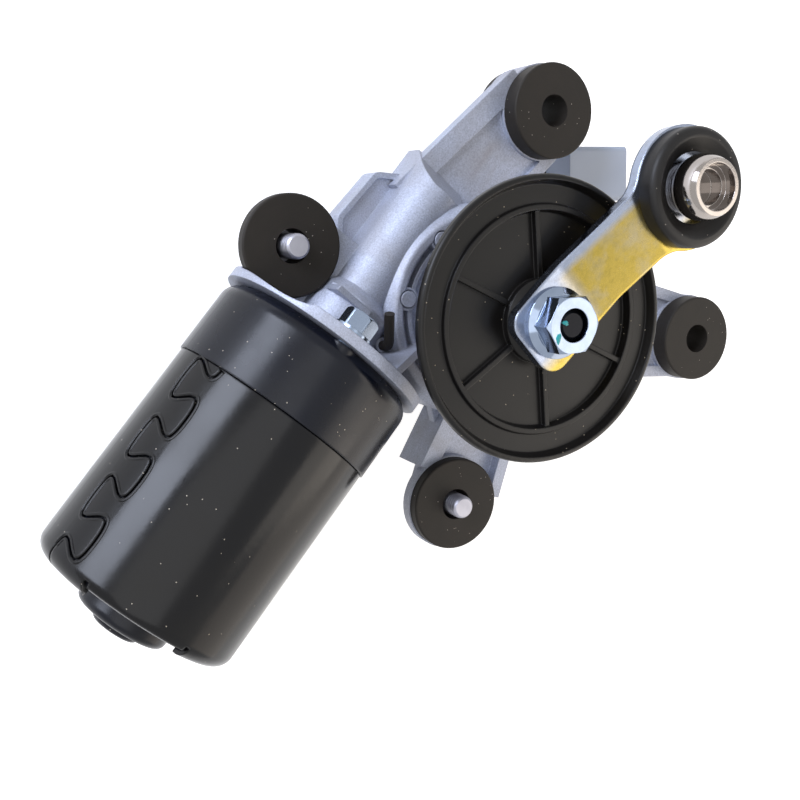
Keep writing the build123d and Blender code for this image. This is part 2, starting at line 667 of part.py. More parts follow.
def lug_shelf():
    """Broad flat edge of the upper arm, squared off beyond its lug."""
    return prism([(12, 37.2), (59.4, 29.7), (58.3, 23.5), (12, 32.0)], WEB_Z[0], LONG_LUG_Z[1], {1: 0.8})


def motor_lug_seat():
    """Plate and two walls that carry the lug between the motor flange and the chamber."""
    low, high = SHORT_LUG_Z
    seat = prism([(FLANGE_X[1], 34), (CAVITY_END_X, 34), (CAVITY_END_X, 49), (-14, 53), (-26, 53), (-29, 49),
                  (FLANGE_X[1], 42)], low, high)
    seat &= tube_z(LUG_RADII[1], 0, low, high, lug_place(1)) + box_between((-31, 30, low), (-8, 47, high))
    seat += strip((-29.2, 34.0), (-29.2, 46.0), 1.7, BACK_Z, high)
    seat += strip((CAVITY_END_X + 0.5, 34.0), (CAVITY_END_X - 0.5, 46.0), 1.5, BACK_Z, high)
    return seat


def gearbox_housing():
    """Die-cast body: gear chamber, output tower, worm tunnel, motor flange and four lugs."""
    body = chamber_shell() + worm_tunnel() + motor_flange() + motor_lug_seat()
    body += lug_arm(2, (10.0, 33.5), (24.0, 8.0)) + lug_shelf()
    body += lug_arm(3, (26.5, -8.0), (-2.0, -27.5))
    body += prism([(-26, -10), (-31, -17), (-41, -18.4), (-50, -22), (-34, -43.5), (-14, -34)], *WEB_Z)
    body += strip((-22.0, -15.5), (-41.0, -19.2), 2.6, BACK_Z, SHORT_LUG_Z[1])
    body += strip((-12.0, -33.0), (-35.0, -42.5), 1.7, BACK_Z, SHORT_LUG_Z[1])
    for number in GROMMETS:
        body += lug(number)
    for spot in COVER_SCREWS:
        body += tube_z(4.2, 0, BACK_Z, BACK_Z + 9, spot)
    body -= tube_z(CHAMBER_BORE_R, 0, BACK_Z - 1, DISH_Z[0])
    body -= tube_x(TUNNEL_BORE_R, 0, WORM_X[0] - 2.5, TAIL_BUSH_X[0])
    body -= tube_x(SHAFT_R + 1.2, 0, FLANGE_X[0] - 1, 0)
    body -= tube_x(FRONT_BEARING_R, 0, FLANGE_X[0] - 1, FRONT_BEARING_X[1])
    body -= tube_x(TAIL_BUSH_R, 0, TAIL_BUSH_X[0] - 1, TAIL_BUSH_X[1])
    body -= tube_x(THRUST_PAD_R, 0, TAIL_BUSH_X[1] - 1, THRUST_PAD_X[1])
    body -= tube_z(BUSH_R, 0, 0, TOWER_TOP_Z + 1)
    body -= box_between((FLANGE_X[0] - 1, MOTOR_Y - 8, BLADE_Z - 1.4), (FLANGE_X[1] + 1, MOTOR_Y + 8, BLADE_Z + 1.4))
    for number in GROMMETS:
        low, high = lug_heights(number)
        body -= tube_z(GROMMET_NECK_R, 0, low - 1, high + 1, lug_place(number))
        body -= tube_z(GROMMET_R + FREE_GAP, 0, high, 20, lug_place(number))
    for number in STUDDED:
        body -= tube_z(GROMMET_SHORT_BACK_R + FREE_GAP, 0, BACK_Z - 2, SHORT_LUG_Z[0], lug_place(number))
    for angle in YOKE_SCREW_ANGLES:
        spot = around_motor(angle, YOKE_SCREW_AT, 0)
        body -= tube_x(YOKE_SCREW_R, 0, FLANGE_X[0] - 1, FLANGE_X[1] + 1, spot[1], spot[2])
    for spot in COVER_SCREWS:
        body -= tube_z(COVER_SCREW_R, 0, BACK_Z - 1, BACK_Z + 7.5, spot)
    return body


def connector_place():
    """Location of the plug socket's outer corner: local X runs to its mouth, Y outwards."""
    return Pos(CONNECTOR_CORNER[0], CONNECTOR_CORNER[1], 0) * Rot(0, 0, CONNECTOR_TURN)


def cover_outline():
    """Plan of the back cover: the chamber's circle, screw ears, blade box and connector limb."""
    plan = Circle(CHAMBER_R)
    for spot in COVER_SCREWS:
        plan += Pos(*spot) * Circle(4.2)
    plan += Pos(-12.5, MOTOR_Y) * Rectangle(25, 20)
    limb = make_face(Polyline((10, 14), (48, -6), (60, -22), (20, -22), close=True))
    return plan + limb


def cover_gasket():
    """Thin rubber gasket between chamber and cover."""
    ring = Circle(CHAMBER_R) - Circle(CHAMBER_BORE_R)
    for spot in COVER_SCREWS:
        ring += Pos(*spot) * Circle(4.2)
    for spot in COVER_SCREWS:
        ring -= Pos(*spot) * Circle(2.2)
    ring -= Circle(CHAMBER_BORE_R)
    return Pos(0, 0, COVER_TOP_Z) * extrude(ring, GASKET)


def gear_cover():
    """Moulded back cover with the blade box behind the tunnel and the limb that holds the plug."""
    cover = Pos(0, 0, COVER_TOP_Z - COVER_THICK) * extrude(cover_outline(), COVER_THICK)
    cover += box_between((-24.3, 18.5, COVER_BOX_Z), (-1.0, 37.5, COVER_TOP_Z - 1))
    cover -= box_between((-25.0, 20.0, COVER_BOX_Z + 1.6), (-4.0, 36.0, COVER_TOP_Z - 1.6))
    cover += Pos(0, 0, COVER_BOX_Z) * extrude(make_face(
        Polyline((18, 8), (46, -5.4), (58, -22), (24, -18), close=True)), COVER_TOP_Z - COVER_BOX_Z - 1)
    cover += Pos(*CONTACT_POST) * Box(6, 12, 3, align=(Align.CENTER, Align.CENTER, Align.MIN))
    shelf = box_between((-22.0, -14.5, COVER_BOX_Z), (3.6, -0.2, CONNECTOR_Z[0]))
    cover += connector_place() * shelf
    cover -= connector_place() * box_between((-21.6, -16, CONNECTOR_Z[0]), (9, 2, CONNECTOR_Z[1] + 9))
    for spot in COVER_SCREWS:
        cover -= tube_z(2.2, 0, COVER_BOX_Z - 2, COVER_TOP_Z + 1, spot)
    return cover


def connector_shell():
    """Open-ended plug socket that sits on the cover's limb."""
    x_in, x_out = -21.0, 0.0
    shell = box_between((x_in, -16.0, CONNECTOR_Z[0]), (x_out, 0, CONNECTOR_Z[1]))
    shell = fillet(shell.edges().filter_by(Axis.X), 1.6)
    shell -= box_between((x_in + 8, -14.4, CONNECTOR_Z[0] + 1.6), (x_out + 1, -1.6, CONNECTOR_Z[1] - 1.6))
    return connector_place() * shell


def connector_terminals():
    """Tinned blades in the plug socket."""
    middle = (CONNECTOR_Z[0] + CONNECTOR_Z[1]) / 2
    blades = []
    for row in (-1.8, 1.8):
        for y in (-11.5, -8.0, -4.5):
            blade = box_between((-13.0, y - 1.1, middle + row - 0.35), (-4.0, y + 1.1, middle + row + 0.35))
            blades.append(connector_place() * blade)
    return blades


def cover_screws():
    """Pan-headed screws that hold the cover."""
    screws = []
    head_top = COVER_TOP_Z - COVER_THICK
    for spot in COVER_SCREWS:
        screw = revolved_z([
            (0, head_top - 1.4), (1.6, head_top - 1.4), (1.6, head_top - 2.6), (2.6, head_top - 2.6),
            (3.8, head_top - 1.2), (3.8, head_top), (COVER_SCREW_R, head_top), (COVER_SCREW_R, BACK_Z + 6.5),
            (0, BACK_Z + 6.5),
        ], {}, spot)
        screws.append(screw)
    return screws


def yoke_screws():
    """Hexagon screws with washers that clamp the can to the flange."""
    screws = []
    for angle in YOKE_SCREW_ANGLES:
        spot = around_motor(angle, YOKE_SCREW_AT, 0)
        front = FLANGE_X[1]
        washer = tube_x(5.0, YOKE_SCREW_R, front, front + 1.0, spot[1], spot[2])
        head = Pos(front + 1.0, spot[1], spot[2]) * (Rot(0, 90, 0) * hexagon(8.0, 0, 4.6))
        crown = tube_x(4.5, 0, front + 1.0, front + 5.6, spot[1], spot[2])
        head &= fillet(crown.edges().sort_by(Axis.X)[-1], 1.0)
        shank = tube_x(YOKE_SCREW_R, 0, YOKE_FRONT_X - 5.0, front + 1.5, spot[1], spot[2])
        screws.append((washer, head + shank))
    return screws


def tail_bush():
    """Sintered bush at the worm's free end."""
    return tube_x(TAIL_BUSH_R, TAIL_R + RUN_GAP, *TAIL_BUSH_X)


def vent_tube():
    """Soft breather tube that stands in the pocket beside the tunnel."""
    x, y, z = VENT_FOOT
    path = FilletPolyline((x, y, z), (x, y, z + 3.4), (x + 5.8, y + 6.6, z + 6.4), radius=3)
    tube = sweep(Plane(path @ 0, z_dir=path % 0) * Circle(1.3), path=path)
    return tube


# ---------------------------------------------------------------- output
def output_shaft():
    """Ground steel output shaft with a thread for the crank's nut."""
    return revolved_z([
        (0, WHEEL_BOTTOM_Z - 1.2), (OUT_SHAFT_R, WHEEL_BOTTOM_Z - 1.2), (OUT_SHAFT_R, CLIP_Z),
        (OUT_SHAFT_R - 0.5, CLIP_Z), (OUT_SHAFT_R - 0.5, CLIP_Z + 1.1), (OUT_SHAFT_R, CLIP_Z + 1.1),
        (OUT_SHAFT_R, ARM_Z), (THREAD_R, ARM_Z), (THREAD_R, 43.2), (THREAD_R - 1.2, 44.6), (0, 44.6),
    ])


def output_bush(low):
    """Sintered bush in the output tower."""
    return tube_z(BUSH_R, OUT_SHAFT_R + RUN_GAP, low, low + BUSH_LENGTH)


def splash_disc():
    """Moulded dished cover on the tower, with a rolled rim, a raised ring and radial ribs."""
    disc = revolved_z([
        (TOWER_R, 22.0), (TOWER_R + 2.0, 22.0), (TOWER_R + 2.0, 29.6), (DISC_R - 8.8, 29.6), (DISC_R - 7.8, 30.6),
        (DISC_R - 2.2, 30.6), (DISC_R, 32.4), (DISC_R, DISC_RIM_Z),
        (DISC_R - 1.4, DISC_RIM_Z), (DISC_R - 2.4, 32.2), (DISC_R - 6.8, 32.2), (DISC_R - 7.2, 33.2),
        (DISC_R - 8.4, 33.2), (DISC_R - 9.0, 31.1), (10.4, 31.1), (10.4, 32.9),
        (8.8, 34.0), (7.6, 34.0), (7.6, TOWER_TOP_Z + 0.2), (TOWER_R, TOWER_TOP_Z + 0.2),
    ], {7: 1.0})
    for angle in DISC_RIB_ANGLES:
        disc += Rot(0, 0, angle) * box_between((9.5, -0.65, 30.9), (DISC_R - 8.6, 0.65, 32.6))
    return disc


def on_arm(part):
    """Turn a piece from the arm's own frame (X along the arm) to its place."""
    return Rot(0, 0, CRANK_ANGLE) * part


def crank_arm():
    """Pressed steel arm with a joggle, squared at the shaft and round at the ball."""
    pad_z = ARM_Z + ARM_RISE
    side = [
        (-14, ARM_Z), (9.5, ARM_Z), (33, pad_z), (64, pad_z),
        (64, pad_z + ARM_THICK), (33, pad_z + ARM_THICK), (9.5, ARM_Z + ARM_THICK), (-14, ARM_Z + ARM_THICK),
    ]
    profile = Rot(90, 0, 0) * rounded(side, {1: 6.0, 2: 9.0, 5: 6.0, 6: 9.0})
    bar = extrude(profile, 20, both=True)
    waist = [(-9.8, -9.6), (3, -9.4), (17, -7.9), (46, -8.6), (46, 10), (3, 9.8), (-9.8, 9.4)]
    plan = rounded(waist, {0: 5.0, 1: 14.0, 2: 14.0, 6: 4.5})
    plan += Pos(CRANK_RADIUS, 0) * Circle(ARM_PAD_R)
    necks = [v for v in plan.vertices() if 30 < v.X < 44]
    plan = fillet(necks, 9.0)
    arm = bar & (Pos(0, 0, 30) * extrude(plan, 20))
    arm -= tube_z(THREAD_R, 0, 30, 50)
    arm -= tube_z(BALL_SHANK_R, 0, 30, 50, (CRANK_RADIUS, 0))
    return on_arm(arm)


def crank_nut():
    """Flanged hexagon nut on the shaft's thread."""
    base = ARM_Z + ARM_THICK
    nut = hexagon(NUT_AF, base, base + NUT_HEIGHT)
    crown = revolved_z([
        (0, base), (8.6, base), (8.6, base + NUT_HEIGHT - 1.4), (6.6, base + NUT_HEIGHT), (0, base + NUT_HEIGHT),
    ])
    nut = Rot(0, 0, NUT_TURN) * (nut & crown)
    nut += revolved_z([(0, base), (8.6, base), (8.6, base + 0.9), (7.0, base + 2.0), (0, base + 2.0)])
    return nut - tube_z(THREAD_R, 0, base - 1, base + NUT_HEIGHT + 1)


def ball_stud():
    """Ball pin riveted through the arm's pad."""
    pad = ARM_Z + ARM_RISE
    top = pad + ARM_THICK
    centre = top + BALL_ABOVE_PAD
    pin = tube_z(6.2, 0, pad - 1.6, pad) + tube_z(BALL_SHANK_R, 0, pad, top)
    pin += tube_z(6.0, 0, top, top + 1.0)
    ball = Pos(0, 0, centre) * Sphere(BALL_R)
    flat = centre + BALL_FLAT
    pin += ball & tube_z(20, 0, top + 1.0, flat)
    pin -= tube_z(BALL_SOCKET_R, 0, flat - 3.0, flat + 1)
    pin -= tube_z(BALL_SOCKET_R - 1.4, 0, flat - 6.4, flat - 2)
    return on_arm(Pos(CRANK_RADIUS, 0, 0) * pin)


def ball_seal():
    """Rubber ring that the linkage's socket presses down on."""
    top = ARM_Z + ARM_RISE + ARM_THICK
    seal = revolved_z([
        (8.6, top), (SEAL_R, top), (SEAL_R, top + 4.6), (SEAL_R - 2.4, top + 5.0), (9.6, top + 3.2), (8.6, top + 2.6),
    ], {2: 1.6, 3: 1.0})
    return on_arm(Pos(CRANK_RADIUS, 0, 0) * seal)


def park_contact_plate():
    """Brass plate on the wheel's back, with the gap that parks the wipers."""
    plate = tube_z(17.5, 7.0, WHEEL_BOTTOM_Z - 0.8, WHEEL_BOTTOM_Z)
    return plate - Rot(0, 0, 60) * box_between((10.5, -3.5, -12), (20, 3.5, 0))


def park_contacts():
    """Three sprung fingers that stand on the cover and reach for the contact plate."""
    fingers = []
    for i in range(3):
        y = CONTACT_POST[1] + 4.0 * (i - 1)
        reach = CONTACT_POST[0] - 6.0 - 1.5 * i
        top = WHEEL_BOTTOM_Z - 0.8 - 0.25
        foot = CONTACT_POST[2] + 3.0
        side = [
            (CONTACT_POST[0] + 2.5, foot), (CONTACT_POST[0] + 2.5, foot + 0.4), (CONTACT_POST[0] - 0.5, foot + 0.4),
            (reach + 1.2, top), (reach, top), (reach, top - 0.5), (reach + 0.9, top - 0.5), (CONTACT_POST[0] - 0.9, foot),
        ]
        profile = Rot(90, 0, 0) * make_face(Polyline(*side, close=True))
        fingers.append(Pos(0, y, 0) * extrude(profile, 1.1, both=True))
    return fingers


# ---------------------------------------------------------------- mounts
def grommet_length(number):
    """Length of a grommet along its bore."""
    return GROMMET_SHORT_LENGTH if number in STUDDED else GROMMET_LENGTH


def grommet(number):
    """Rubber grommet buttoned into a lug."""
    low, high = lug_heights(number)
    back_r = GROMMET_SHORT_BACK_R if number in STUDDED else GROMMET_R
    end = -grommet_length(number)
    return revolved_z([
        (GROMMET_BORE_R, end), (back_r, end), (back_r, low), (GROMMET_NECK_R, low),
        (GROMMET_NECK_R, high), (GROMMET_R, high), (GROMMET_R, 0), (GROMMET_BORE_R, 0),
    ], {1: 1.2, 6: 0.6}, lug_place(number))


def mount_bolt(number):
    """M6 bolt that waits in a grommet, with its washer."""
    under = -grommet_length(number)
    spot = lug_place(number)
    bolt = revolved_z([
        (0, under - 7.6), (5.8, under - 7.6), (5.8, under - 1.6), (STUD_R, under - 1.6),
        (STUD_R, STUD_OUT - 0.5), (STUD_R - 0.5, STUD_OUT), (0, STUD_OUT),
    ], {}, spot)
    bolt &= hexagon(10.0, under - 9, under - 1.6, spot) + tube_z(STUD_R, 0, under - 2, STUD_OUT, spot)
    washer = tube_z(9.0, STUD_R, under - 1.6, under, spot)
    return bolt + washer


# ---------------------------------------------------------------- parts
save(yoke_can(), "yoke_can")
save(flux_sleeve(), "flux_sleeve")
save(magnet(0), "magnet_upper")
save(magnet(180), "magnet_lower")
save(Compound(magnet_clips()), "magnet_clips")
save(rear_bush(), "rear_bush")
save(rear_bush_retainer(), "rear_bush_retainer")
save(tube_x(3.0, 0, DOME_END_X + YOKE_WALL, SHAFT_REAR_X - 0.1), "thrust_button")
save(armature_shaft(), "armature_shaft")
save(worm(), "worm")
save(armature_core(), "armature_core")
save(armature_winding(), "armature_winding")
save(commutator(), "commutator")
save(tube_x(7.0, SHAFT_R, *COMMUTATOR_X), "commutator_hub")
save(brush_card(), "brush_card")
for name, angle in BRUSH_ANGLES.items():
    save(brush_holder(angle), f"brush_holder_{name}")
    save(brush(angle), f"brush_{name}")
save(Compound([brush_spring(angle) for angle in BRUSH_ANGLES.values()]), "brush_springs")
save(Compound([choke(angle) for angle in CHOKE_ANGLES]), "chokes")
save(Compound(motor_blades()), "motor_blades")

save(gearbox_housing(), "gearbox_housing")
save(tube_x(FRONT_BEARING_R, 8.0, *FRONT_BEARING_X), "front_bearing_outer")
save(tube_x(5.6, SHAFT_R, *FRONT_BEARING_X), "front_bearing_inner")
save(Compound(ball_ring(7, 1.17, 6.8, sum(FRONT_BEARING_X) / 2)), "front_bearing_balls")
save(tube_x(FRONT_BEARING_R, 7.4, FRONT_BEARING_X[0] - 1.0, FRONT_BEARING_X[0]), "bearing_clip")
save(tail_bush(), "tail_bush")
save(Pos(THRUST_BALL_X, MOTOR_Y, MOTOR_Z) * Sphere(THRUST_BALL_R), "thrust_ball")
save(tube_x(THRUST_PAD_R, 0, *THRUST_PAD_X), "thrust_pad")
save(gear_cover(), "gear_cover")
save(cover_gasket(), "cover_gasket")
save(Compound(cover_screws()), "cover_screws")
save(connector_shell(), "connector_shell")
save(Compound(connector_terminals()), "connector_terminals")
save(Compound(park_contacts()), "park_contacts")
save(Compound([screw for washer, screw in yoke_screws()]), "yoke_screws")
save(Compound([washer for washer, screw in yoke_screws()]), "yoke_screw_washers")
save(vent_tube(), "vent_tube")

save(worm_wheel(), "worm_wheel")
save(park_contact_plate(), "park_contact_plate")
save(output_shaft(), "output_shaft")
save(output_bush(DISH_Z[0] + 0.6), "output_bush_lower")
save(output_bush(TOWER_TOP_Z - BUSH_LENGTH), "output_bush_upper")
save(tube_z(7.0, OUT_SHAFT_R, TOWER_TOP_Z + 0.05, CLIP_Z), "thrust_washer")
save(tube_z(6.6, OUT_SHAFT_R - 0.5, CLIP_Z, CLIP_Z + 1.1), "circlip")
save(splash_disc(), "splash_disc")
save(crank_arm(), "crank_arm")
save(crank_nut(), "crank_nut")
save(ball_stud(), "ball_stud")
save(ball_seal(), "ball_seal")

for number in GROMMETS:
    save(grommet(number), f"grommet_{number}")
for number in STUDDED:
    save(mount_bolt(number), f"mount_bolt_{number}")
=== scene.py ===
"""Windscreen wiper motor, dressed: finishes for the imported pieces, threads, paint dabs, light and camera.

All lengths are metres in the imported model's frame: +Z is the output shaft towards the crank, +X the
armature towards the gearbox, and z = 0 the grommets' front faces.
"""
import math

import bpy
import numpy as np
from mathutils import Matrix, Vector


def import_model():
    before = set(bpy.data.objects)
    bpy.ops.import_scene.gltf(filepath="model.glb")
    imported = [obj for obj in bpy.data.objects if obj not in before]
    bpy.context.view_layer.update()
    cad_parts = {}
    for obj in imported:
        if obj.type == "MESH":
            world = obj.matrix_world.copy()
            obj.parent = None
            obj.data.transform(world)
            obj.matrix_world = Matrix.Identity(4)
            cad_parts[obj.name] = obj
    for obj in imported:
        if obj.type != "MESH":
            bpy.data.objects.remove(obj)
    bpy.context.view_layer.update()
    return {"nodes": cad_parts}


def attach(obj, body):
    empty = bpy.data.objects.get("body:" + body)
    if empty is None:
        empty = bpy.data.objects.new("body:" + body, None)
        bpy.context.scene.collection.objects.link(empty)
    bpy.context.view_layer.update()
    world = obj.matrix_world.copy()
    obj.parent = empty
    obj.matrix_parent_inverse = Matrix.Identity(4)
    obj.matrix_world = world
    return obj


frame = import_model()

MM = 0.001

# Crank, in mm: the arm's turn at rest, where along and across it the yellow passivation and painted warm
# reflection fade, and the height from which the output shaft is black.
CRANK_TURN = math.radians(-7.4)
GOLD_AND_REFLECTION_STARTS = (6, 12)
GOLD_AND_REFLECTION_ENDS = (42, 34)
GOLD_AND_REFLECTION_EDGE = (8.4, 6.4)
GOLD_AND_REFLECTION_LOW = (-4, -8)
SHAFT_BLACK_FROM = 43 * MM

# Studs, in mm: the thread runs from its foot to the chamfer and starts a little inside the plain stud.
STUD_RADIUS = 3.0
STUD_TOP = 4.2
STUD_CHAMFER = 0.45
STUDS = {1: (-19.6, 50.9), 4: (-43.9, -31.2)}
THREAD_FOOT = -4.0
THREAD_PITCH = 1.0
THREAD_HEIGHT = 0.24
THREAD_SUNK = 0.06
THREAD_RUN_IN = 0.3
THREAD_RUN_OUT = 0.5

# Seam of the flux sleeve, in mm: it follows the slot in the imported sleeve.
SLEEVE_RADIUS = 27.4
MOTOR_AXIS = (28.0, -3.4)
SEAM_ANGLE = math.radians(64.5)
SEAM_PITCH = 16.65
SEAM_NECK = 3.1
SEAM_HALF = 4.7
SEAM_ROUNDING = 0.06
SEAM_GAP = 0.6
SEAM_START = -60.9
SEAM_END = -108.4
SEAM_FIRST = -0.9 * math.pi
SEAM_LAST = 6.5 * math.pi
LIP_RADIUS = 0.5
LIP_PROUD = 0.2

# Finishes and check paint, in mm.
DUST_RADIUS = 0.14
MOULDED_EDGE = 0.45
DRAWN_EDGE = 0.7
MACHINED_EDGE = 0.3
PRESSED_EDGE = 0.8
DAB_THICK = 0.22
DAB_SUNK = 0.15

# The camera and the floor's height in mm; the floor's half width and the reach of its glow in metres.
CAMERA_AT = Vector((-73.46, 123.72, 231.57)) * MM
CAMERA_RIGHT = Vector((0.5718, -0.6793, 0.46))
CAMERA_UP = Vector((0.8051, 0.5725, -0.1552))
CAMERA_BACK = Vector((-0.1579, 0.459, 0.8743))
CAMERA_LENS = 45.02
FLOOR_Z = -36 * MM
FLOOR_HALF = 3.0
FLOOR_NEAR = 0.3
FLOOR_FAR = 0.9
FLOOR_GLOW = 0.7
WORLD_LIGHT = 0.2


# ---------------------------------------------------------------- small tools
def linear(code):
    """An sRGB hex colour as linear RGBA."""
    channels = [int(code[i:i + 2], 16) / 255 for i in (1, 3, 5)]
    return tuple(c / 12.92 if c <= 0.04045 else ((c + 0.055) / 1.055) ** 2.4 for c in channels) + (1.0,)


def add(tree, kind, inputs=None, **settings):
    """Add a shader node with its settings; each input takes a value or a link from a socket."""
    node = tree.nodes.new(kind)
    for name, value in settings.items():
        setattr(node, name, value)
    for name, value in (inputs or {}).items():
        if isinstance(value, bpy.types.NodeSocket):
            tree.links.new(value, node.inputs[name])
        else:
            node.inputs[name].default_value = value
    return node


def begin(name):
    """A new material: its tree, its Principled shader and the piece's own coordinates."""
    material = bpy.data.materials.new(name)
    material.use_nodes = True
    tree = material.node_tree
    shader = tree.nodes["Principled BSDF"]
    place = add(tree, "ShaderNodeTexCoord").outputs["Object"]
    return material, tree, shader, place


def per(size_mm):
    """Texture scale for a pattern whose features are this many millimetres apart."""
    return 1 / (size_mm * MM)


# ---------------------------------------------------------------- finishes
def dust(tree, place, spacing_mm, share):
    """Mask of round dust grains: the middle of a Voronoi cell, in the share of cells with a high red, and
    only where a slow noise lets dust settle."""
    cells = add(tree, "ShaderNodeTexVoronoi", {"Vector": place, "Scale": per(spacing_mm)})
    grain = add(tree, "ShaderNodeMath", {0: cells.outputs["Distance"], 1: DUST_RADIUS / spacing_mm},
                operation="LESS_THAN")
    chance = add(tree, "ShaderNodeSeparateColor", {"Color": cells.outputs["Color"]})
    kept = add(tree, "ShaderNodeMath", {0: chance.outputs["Red"], 1: 1 - share}, operation="GREATER_THAN")
    drift = add(tree, "ShaderNodeTexNoise", {"Vector": place, "Scale": per(13), "Detail": 1.0})
    settled = add(tree, "ShaderNodeMath", {0: drift.outputs["Fac"], 1: 0.47}, operation="GREATER_THAN")
    both = add(tree, "ShaderNodeMath", {0: grain.outputs[0], 1: kept.outputs[0]}, operation="MULTIPLY")
    lying = add(tree, "ShaderNodeMath", {0: both.outputs[0], 1: settled.outputs[0]}, operation="MULTIPLY")
    return lying.outputs[0]


def stoved_enamel(name, tone, deep, gloss, dusty):
    """Stoved black enamel on drawn steel: glossy, faint orange peel, smudges and a few dust specks."""
    material, tree, shader, place = begin(name)
    smudge = add(tree, "ShaderNodeTexNoise", {"Vector": place, "Scale": per(14), "Detail": 3.0})
    tint = add(tree, "ShaderNodeMix", {"Factor": smudge.outputs["Fac"], "A": linear(tone),
                                       "B": linear(deep)}, data_type="RGBA")
    # Dust lies in grains 0.2 mm across, drawn a little coarse so that they show.
    colour = add(tree, "ShaderNodeMix", {"Factor": dust(tree, place, 1.5, dusty),
                                         "A": tint.outputs["Result"],
                                         "B": linear("#b8ae9e")}, data_type="RGBA")
    rough = add(tree, "ShaderNodeMapRange", {"Value": smudge.outputs["Fac"], "From Min": 0.3,
                                             "From Max": 0.7, "To Min": gloss * 0.8, "To Max": gloss * 1.3})
    peel = add(tree, "ShaderNodeTexNoise", {"Vector": place, "Scale": per(1.6), "Detail": 1.0})
    eased = add(tree, "ShaderNodeBevel", {"Radius": DRAWN_EDGE * MM}, samples=6)
    bump = add(tree, "ShaderNodeBump", {"Height": peel.outputs["Fac"], "Strength": 0.1, "Distance": 0.0001,
                                        "Normal": eased.outputs["Normal"]})
    tree.links.new(colour.outputs["Result"], shader.inputs["Base Color"])
    tree.links.new(rough.outputs["Result"], shader.inputs["Roughness"])
    tree.links.new(bump.outputs["Normal"], shader.inputs["Normal"])
    shader.inputs["Specular IOR Level"].default_value = 0.26
    return material


def die_cast_aluminium():
    """Shot-cleaned die-cast aluminium: pale, fine sparkling grain, darker flow marks, no polish."""
    material, tree, shader, place = begin("die_cast_aluminium")
    # The shot leaves pits about 0.2 mm across, drawn at 0.4 mm so that they show.
    grain = add(tree, "ShaderNodeTexNoise", {"Vector": place, "Scale": per(0.4), "Detail": 3.0,
                                             "Roughness": 0.7})
    flow = add(tree, "ShaderNodeTexNoise", {"Vector": place, "Scale": per(16), "Detail": 3.0,
                                            "Distortion": 0.6})
    pits = add(tree, "ShaderNodeMapRange", {"Value": grain.outputs["Fac"], "From Min": 0.3, "From Max": 0.7})
    pale = add(tree, "ShaderNodeMix", {"Factor": pits.outputs["Result"], "A": linear("#9298a8"),
                                       "B": linear("#bec4d6")}, data_type="RGBA")
    fade = add(tree, "ShaderNodeMapRange", {"Value": flow.outputs["Fac"], "From Min": 0.42, "From Max": 0.8,
                                            "To Min": 0.0, "To Max": 0.65})
    colour = add(tree, "ShaderNodeMix", {"Factor": fade.outputs["Result"], "A": pale.outputs["Result"],
                                         "B": linear("#8f8a88")}, data_type="RGBA")
    rough = add(tree, "ShaderNodeMapRange", {"Value": flow.outputs["Fac"], "To Min": 0.42, "To Max": 0.6})
    eased = add(tree, "ShaderNodeBevel", {"Radius": MOULDED_EDGE * MM}, samples=6)
    bump = add(tree, "ShaderNodeBump", {"Height": grain.outputs["Fac"], "Strength": 0.4, "Distance": 0.0001,
                                        "Normal": eased.outputs["Normal"]})
    tree.links.new(colour.outputs["Result"], shader.inputs["Base Color"])
    tree.links.new(rough.outputs["Result"], shader.inputs["Roughness"])
    tree.links.new(bump.outputs["Normal"], shader.inputs["Normal"])
    shader.inputs["Metallic"].default_value = 0.3
    return material


def moulded_rubber(name, tone, bloomed, gloss):
    """Moulded black rubber: matte, faintly brown, powdery bloom and pale crumbs of dust."""
    material, tree, shader, place = begin(name)
    bloom = add(tree, "ShaderNodeTexNoise", {"Vector": place, "Scale": per(9), "Detail": 5.0,
                                             "Roughness": 0.6})
    base = add(tree, "ShaderNodeMix", {"Factor": bloom.outputs["Fac"], "A": linear(tone),
                                       "B": linear(bloomed)}, data_type="RGBA")
    # Crumbs of mould powder 0.2 mm across, drawn a little coarse so that they show.
    colour = add(tree, "ShaderNodeMix", {"Factor": dust(tree, place, 1.4, 0.5), "A": base.outputs["Result"],
                                         "B": linear("#958d84")}, data_type="RGBA")
    fine = add(tree, "ShaderNodeTexNoise", {"Vector": place, "Scale": per(0.5), "Detail": 2.0})
    bump = add(tree, "ShaderNodeBump", {"Height": fine.outputs["Fac"], "Strength": 0.2, "Distance": 0.0001})
    tree.links.new(colour.outputs["Result"], shader.inputs["Base Color"])
    tree.links.new(bump.outputs["Normal"], shader.inputs["Normal"])
    shader.inputs["Roughness"].default_value = gloss
    shader.inputs["Specular IOR Level"].default_value = 0.3
    return material


